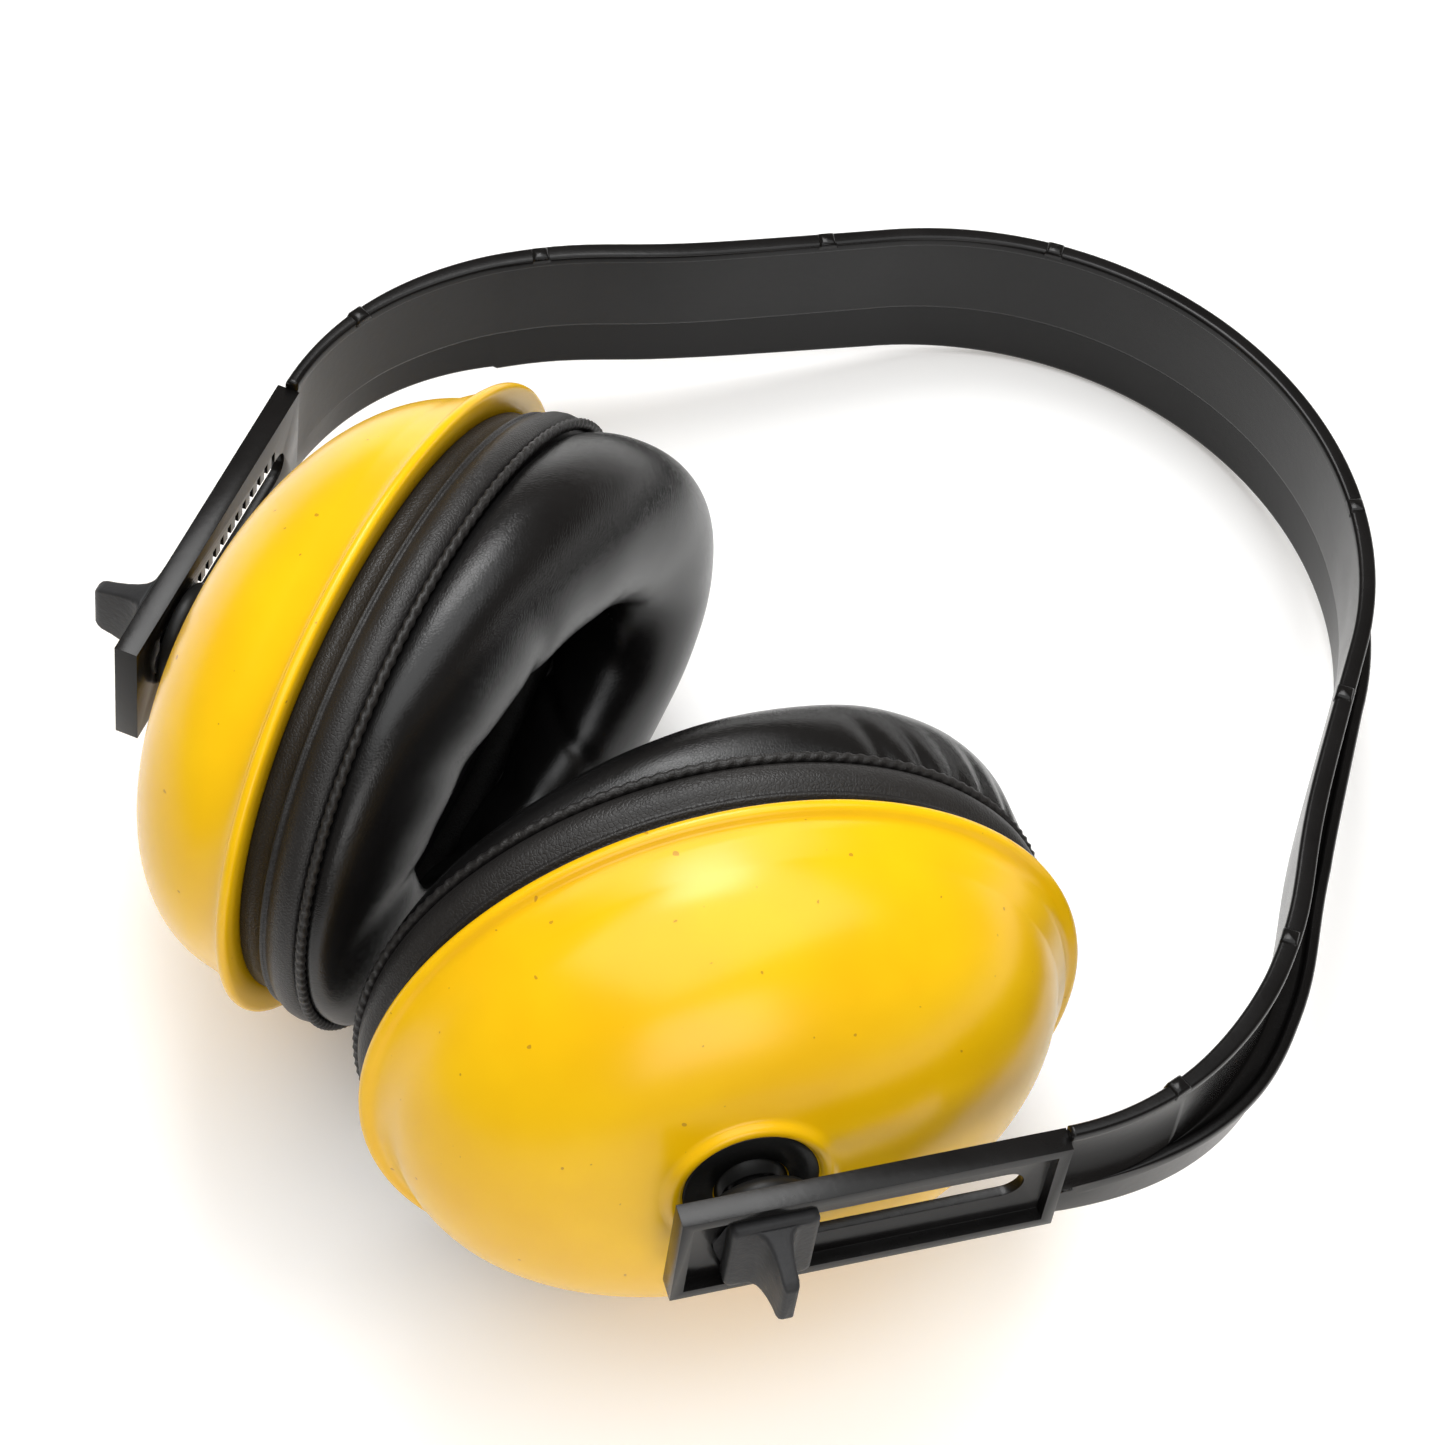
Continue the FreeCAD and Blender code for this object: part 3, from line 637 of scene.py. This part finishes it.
def build_disc(side):
    """Spacer disc between plate and cup, with a hole. Profile: radius, level."""
    profile = ((2.6, -1.5), (6.7, -1.5), (7.2, -1.65), (7.4, -2.0), (7.4, -3.0), (7.2, -3.35),
               (6.9, -3.8), (6.5, -3.9), (2.6, -3.9))
    verts, faces = skin([circle(radius, level, ROUND_STEPS) for radius, level in profile], True)
    new_piece(f"{side}_spacer", verts, faces, PIVOT[side], f"{side}_swivel",
              DISC_BLACK, [f"{side}_swivel_disc"])


# ---------------------------------------------------------------- cup shell

# angles of the dome's section in radians: foot and top of its outside, foot of its inside
DOME_FOOT, DOME_TOP, INSIDE_FOOT = 0.17, 1.2, 0.02
# boss ring round the dish: radius and level of its section's centre, half width and height
BOSS_RADIUS, BOSS_LEVEL, BOSS_HALF, BOSS_HEIGHT = 9.9, 3.7, 1.05, 1.1


def dome_level(x, y):
    """Height of the dome's outside over a point of its plan, found by repetition because the
    section's centre moves with the height."""
    part = 0.95
    for _ in range(12):
        shift = SHIFT * (1 - part) + DOME_LEAN * part
        reach = math.hypot(x / DOME_SHORT, (y - shift) / DOME_LONG)
        part = max(1 - reach ** DOME_POWER, 0.0) ** (1 / DOME_POWER)
    return FLANGE + DOME_HEIGHT * part


def dome_rings(long, short, height, first, last, steps, count):
    """Rings up or down a superelliptic dome, between two angles of its section."""
    rings = []
    for step in range(steps):
        angle = first + (last - first) * step / (steps - 1)
        part = math.sin(angle) ** (2 / DOME_POWER)
        width = math.cos(angle) ** (2 / DOME_POWER)
        shift = SHIFT * (1 - part) + DOME_LEAN * part
        rings.append(oval(long * width, short * width, FLANGE + height * part, count, shift))
    return rings


def build_shell(side):
    """Cup shell, all round its section: flange, dome, boss ring, dish, ball socket, inside."""
    count = 160
    rings = []
    flange = ((-5.4, 0.8), (-0.8, 0.8), (-0.3, 0.68), (-0.05, 0.4), (0.0, 0.0), (-0.1, -0.4),
              (-0.4, -0.72), (-0.85, -0.9), (-1.3, -1.0), (-1.7, -1.2), (-2.05, -1.65),
              (-2.45, -2.5), (-2.8, -3.6))
    for inset, depth in flange:
        rings.append(oval(EDGE_LONG + inset, EDGE_SHORT + inset, FLANGE - depth, count))
    rings += dome_rings(DOME_LONG, DOME_SHORT, DOME_HEIGHT, DOME_FOOT, DOME_TOP, 40, count)
    for radius, rise in ((11.8, 0.0), (11.3, 0.04), (11.0, 0.25)):
        ring = circle(radius, 0.0, count)
        for point in ring:
            point.z = dome_level(point.x, point.y) + rise
        rings.append(ring)
    for degrees in (35, 55, 75, 95, 115, 135, 152, 165):
        angle = math.radians(degrees)
        reach = BOSS_RADIUS + BOSS_HALF * math.cos(angle)
        rings.append(circle(reach, BOSS_LEVEL + BOSS_HEIGHT * math.sin(angle), count))
    for radius, level in ((8.8, 3.9), (7.0, 3.9), (4.95, 3.9), (4.72, 3.8), (5.1, 3.35),
                          (5.8, 1.9), (6.1, 0.0), (6.1, -6.4), (8.1, -6.4), (8.1, 1.6),
                          (9.5, 1.85)):
        rings.append(circle(radius, level, count))
    rings += dome_rings(DOME_LONG - WALL, DOME_SHORT - WALL, DOME_HEIGHT - WALL, DOME_TOP,
                        INSIDE_FOOT, 16, count)
    verts, faces = skin(rings, True)
    new_piece(f"{side}_shell", verts, faces, CUP[side], f"{side}_cup", YELLOW,
              [f"{side}_cup_shell"])


# ---------------------------------------------------------------- cushion

# seam: half width, half depth, height of its thread, inset and depth of its middle
WELT_HALF_WIDTH, WELT_HALF_DEPTH, WELT_RIB, WELT_INSET, WELT_DEPTH = 0.78, 0.62, 0.1, 2.15, 10.35
# wedge of the pad: depth where it starts, depth over which it grows, and its slope
PAD_TOP, PAD_DEPTH, PAD_SLOPE = 10.0, 12.0, 0.1405
# half width and half length of the oval that the crease zones are shares of
PAD_SHORT, PAD_LONG = 37.0, 45.0
# share at which creases start, inwards at the hole and outwards at the seam, and share over
# which they grow to full depth
HOLE_ZONE, SEAM_ZONE = (0.92, 0.3), (0.7, 0.15)
# uneven surface: height, and its waves round the pad and over each millimetre of depth
UNEVEN, UNEVEN_ROUND, UNEVEN_DEEP = 0.28, 3, 0.15
# least height over the table, depth down to which the seam holds the pad, limit on its swelling
FLOOR_GAP, SEAM_DEPTH, SWELL_LIMIT = 0.15, 10.9, 1.3


def build_base(side):
    """Grained ring: a narrow band, a ridge and a wider band with a soft bulge. Profile: inset
    from the flange's edge, depth below the flange."""
    profile = ((-6.4, 0.8), (-4.0, 0.8), (-3.75, 1.1), (-3.7, 2.4), (-3.6, 3.7), (-3.2, 4.0),
               (-2.75, 4.15), (-2.55, 4.4), (-2.7, 4.7), (-2.9, 4.85), (-2.7, 5.2), (-2.1, 5.8),
               (-1.65, 6.7), (-1.5, 7.6), (-1.6, 8.5), (-2.0, 9.3), (-2.8, 9.8), (-4.5, 10.0),
               (-6.4, 10.0))
    rings = [oval(EDGE_LONG + inset, EDGE_SHORT + inset, FLANGE - depth, 200)
             for inset, depth in profile]
    verts, faces = skin(rings, True)
    new_piece(f"{side}_base_ring", verts, faces, CUP[side], f"{side}_cup",
              GRAINED, [f"{side}_cushion_base"])


def build_welt(side):
    """Raised seam between the grained ring and the pad, with the twist of its thread."""
    count, section_steps, twists = 1200, 10, 150
    rings = []
    for step in range(section_steps):
        around = 2 * math.pi * step / section_steps
        ring = []
        for spot in range(count):
            angle = 2 * math.pi * spot / count
            rib = WELT_RIB * math.sin(twists * angle + 2 * around)
            out = (WELT_HALF_WIDTH + rib) * math.cos(around) - WELT_INSET
            deep = WELT_DEPTH + (WELT_HALF_DEPTH + rib) * math.sin(around)
            ring.append(Vector(((EDGE_SHORT + out) * math.cos(angle),
                                SHIFT + (EDGE_LONG + out) * math.sin(angle), FLANGE - deep)))
        rings.append(ring)
    verts, faces = skin(rings, True)
    new_piece(f"{side}_welt", verts, faces, CUP[side], f"{side}_cup", GRAINED)


# half section of the pad: half length, half width and depth below the flange, at its free end
# and at its fuller end towards the crown
PAD_FREE = ((44.0, 36.1, 10.5), (44.4, 36.5, 11.4), (44.7, 36.8, 12.8), (44.5, 36.6, 14.6),
            (43.6, 35.7, 16.8), (41.8, 33.9, 18.9), (39.2, 31.0, 20.6), (35.8, 27.2, 21.8),
            (32.0, 22.9, 22.2), (28.2, 18.6, 21.8), (25.4, 15.5, 20.6), (24.0, 14.0, 18.6),
            (24.3, 14.3, 16.0), (26.2, 16.4, 13.4), (28.6, 19.0, 11.6), (31.8, 22.4, 10.5),
            (36.0, 28.0, 10.3), (41.0, 33.2, 10.2))
PAD_CROWN = ((44.0, 36.1, 10.5), (44.8, 36.9, 11.6), (45.5, 37.6, 13.4), (45.7, 37.8, 15.8),
             (45.2, 37.3, 18.2), (43.8, 35.9, 20.4), (41.2, 33.1, 22.2), (37.6, 29.2, 23.4),
             (33.6, 24.7, 23.9), (29.4, 20.0, 23.4), (26.4, 16.6, 22.0), (24.6, 14.6, 19.8),
             (24.6, 14.6, 17.0), (26.4, 16.6, 14.0), (28.6, 19.0, 12.0), (31.8, 22.4, 10.6),
             (36.0, 28.0, 10.3), (41.0, 33.2, 10.2))


def pad_depth_at(depth, y):
    """The wedge: below the seam the pad is deeper towards the crown."""
    if depth <= PAD_TOP:
        return depth
    return depth + (depth - PAD_TOP) / PAD_DEPTH * PAD_SLOPE * (y - SHIFT)


def crease(value, centre, width):
    """Depth of a crease from 0 to 1, by angle round the pad."""
    gap = (value - centre + math.pi) % (2 * math.pi) - math.pi
    return math.exp(-(gap / width) ** 2)


def wrinkle_pad(piece, side, creases):
    """Push the pad in along creases that run from the seam or up the hole's wall."""
    mesh = piece.data
    inverse = CUP[side].inverted()
    normals = [vert.normal.copy() for vert in mesh.vertices]
    for vert, normal in zip(mesh.vertices, normals):
        local = inverse @ vert.co
        y = local.y - SHIFT
        angle = math.atan2(y / DOME_LONG, local.x / DOME_SHORT)
        depth = FLANGE - local.z
        reach = math.hypot(local.x / PAD_SHORT, y / PAD_LONG)
        push = 0.0
        for where, centre, width, deep, slant, start, end in creases:
            edge, span = HOLE_ZONE if where == "hole" else SEAM_ZONE
            zone = (edge - reach) / span if where == "hole" else (reach - edge) / span
            fade = min(max((end - depth) / (end - start), 0.0), 1.0)
            fade *= min(max(zone, 0.0), 1.0)
            push += deep * crease(angle, centre + slant * (depth - PAD_TOP), width) * fade
        swell = noise.noise(Vector((math.cos(angle) * UNEVEN_ROUND,
                                    math.sin(angle) * UNEVEN_ROUND, depth * UNEVEN_DEEP)))
        vert.co += normal * MM * (UNEVEN * swell - push)
        vert.co.z = max(vert.co.z, FLOOR_GAP * MM)


def puff(piece, side):
    """Let the pad swell under cloth pressure, held at its seam."""
    group = piece.vertex_groups.new(name="seam")
    inverse = CUP[side].inverted()
    for vert in piece.data.vertices:
        depth = FLANGE - (inverse @ vert.co).z
        group.add([vert.index], 1.0 if depth < SEAM_DEPTH else 0.0, "REPLACE")
    start = [vert.co.copy() for vert in piece.data.vertices]
    cloth = piece.modifiers.new("cloth", "CLOTH")
    cloth.settings.quality = 6
    cloth.settings.mass = 0.15
    cloth.settings.tension_stiffness = 12
    cloth.settings.compression_stiffness = 12
    cloth.settings.shear_stiffness = 4
    cloth.settings.bending_stiffness = 0.3
    cloth.settings.use_pressure = True
    cloth.settings.uniform_pressure_force = 4.0
    cloth.settings.vertex_group_mass = "seam"
    cloth.settings.effector_weights.gravity = 0.0
    frames = 20
    cloth.point_cache.frame_start = 1
    cloth.point_cache.frame_end = frames
    for number in range(1, frames + 1):
        bpy.context.scene.frame_set(number)
    apply_modifiers(piece)
    bpy.context.scene.frame_set(1)
    cap = SWELL_LIMIT * MM
    for vert, before in zip(piece.data.vertices, start):
        moved = vert.co - before
        if moved.length > cap:
            vert.co = before + moved.normalized() * cap


def build_pad(side, creases):
    """Pad skin, blended from its free end to its crown end, swollen and then creased."""
    rings, count = [], 132
    for free, crown in zip(PAD_FREE, PAD_CROWN):
        ring = []
        for step in range(count):
            angle = 2 * math.pi * step / count
            part = 0.5 + 0.5 * math.sin(angle)
            part = part * part * (3 - 2 * part)
            long, short, depth = (low + (high - low) * part for low, high in zip(free, crown))
            x, y = short * math.cos(angle), SHIFT + long * math.sin(angle)
            ring.append(Vector((x, y, FLANGE - pad_depth_at(depth, y))))
        rings.append(ring)
    verts, faces = skin(rings, True)
    piece = new_piece(f"{side}_pad", verts, faces, CUP[side], f"{side}_cup",
                      SMOOTH, [f"{side}_cushion_pad"])
    puff(piece, side)
    dense = piece.modifiers.new("dense", "SUBSURF")
    dense.levels = dense.render_levels = 2
    apply_modifiers(piece)
    wrinkle_pad(piece, side, creases)
    shade_smooth(piece.data)


# each crease: zone, angle and spread in radians, how deep it presses, slant in radians a
# millimetre, and the depths below the flange between which it fades out
PAD_CREASES = {
    "left": [("hole", 0.3 + 0.62 * step, 0.08 + 0.03 * (step % 3), 0.7 + 0.4 * (step % 2),
              0.03, 15.0, 27.0) for step in range(10)],
    "right": [("seam", 1.35 + 0.16 * step, 0.034 + 0.01 * (step % 3), 0.95 - 0.1 * (step % 4),
               0.012, 11.0, 21.0) for step in range(8)],
}


def build_cup(side):
    build_shell(side)
    build_dish_liner(side)
    build_base(side)
    build_welt(side)
    build_pad(side, PAD_CREASES[side])


# ---------------------------------------------------------------- scene

def paint_nodes():
    """Materials for the CAD nodes that stay."""
    finishes = {"pivot_screw": STEEL, "ball_stud": DISC_BLACK, "ball_bushing": DISC_BLACK,
                "socket_cap": DISC_BLACK, "snap_ring": DISC_BLACK, "foam_liner": FOAM,
                "cushion_foam": FOAM}
    for side in SIDES:
        for word, material in finishes.items():
            data = frame["nodes"][f"{side}_{word}"].data
            data.materials.clear()
            data.materials.append(material)


def add_light(name, place, target, size, power, colour):
    """A rectangular area light, placed and sized in metres."""
    data = bpy.data.lights.new(name, "AREA")
    data.shape = "RECTANGLE"
    data.size, data.size_y = size
    data.energy = power
    data.color = colour
    light = bpy.data.objects.new(name, data)
    light.location = place
    direction = Vector(target) - Vector(place)
    light.rotation_euler = direction.to_track_quat("-Z", "Y").to_euler()
    bpy.context.scene.collection.objects.link(light)


def add_surroundings():
    """Pale floor just under the earmuffs, warm world light and three soft lights."""
    mesh = bpy.data.meshes.new("floor")
    reach, drop = 6.0, 0.0001
    mesh.from_pydata([(-reach, -reach, 0), (reach, -reach, 0), (reach, reach, 0),
                      (-reach, reach, 0)], [], [(0, 1, 2, 3)])
    floor = bpy.data.objects.new("floor", mesh)
    floor.location.z = -drop
    mesh.materials.append(floor_material())
    bpy.context.scene.collection.objects.link(floor)
    world = bpy.data.worlds.new("studio")
    world.use_nodes = True
    background = world.node_tree.nodes["Background"]
    background.inputs["Color"].default_value = (1.0, 0.91, 0.82, 1)
    background.inputs["Strength"].default_value = 0.22
    bpy.context.scene.world = world
    add_light("top", (0.0, 0.1, 1.05), (0, 0, 0), (1.3, 1.3), 12.5, (0.97, 0.99, 1.0))
    add_light("key", (-0.4, 0.3, 0.75), (0, 0, 0.03), (0.3, 0.45), 3.6, (1.0, 1.0, 1.0))
    add_light("fill", (0.7, -0.35, 0.5), (0, 0, 0.03), (0.4, 0.4), 1.8, (1.0, 0.99, 0.98))
    view = bpy.context.scene.view_settings
    view.view_transform, view.look = "Standard", "None"


add_camera()
add_surroundings()
build_band_loop()
build_gate_marks()
for side_word in SIDES:
    build_plate(side_word)
    build_knob(side_word)
    build_disc(side_word)
    build_cup(side_word)
paint_nodes()
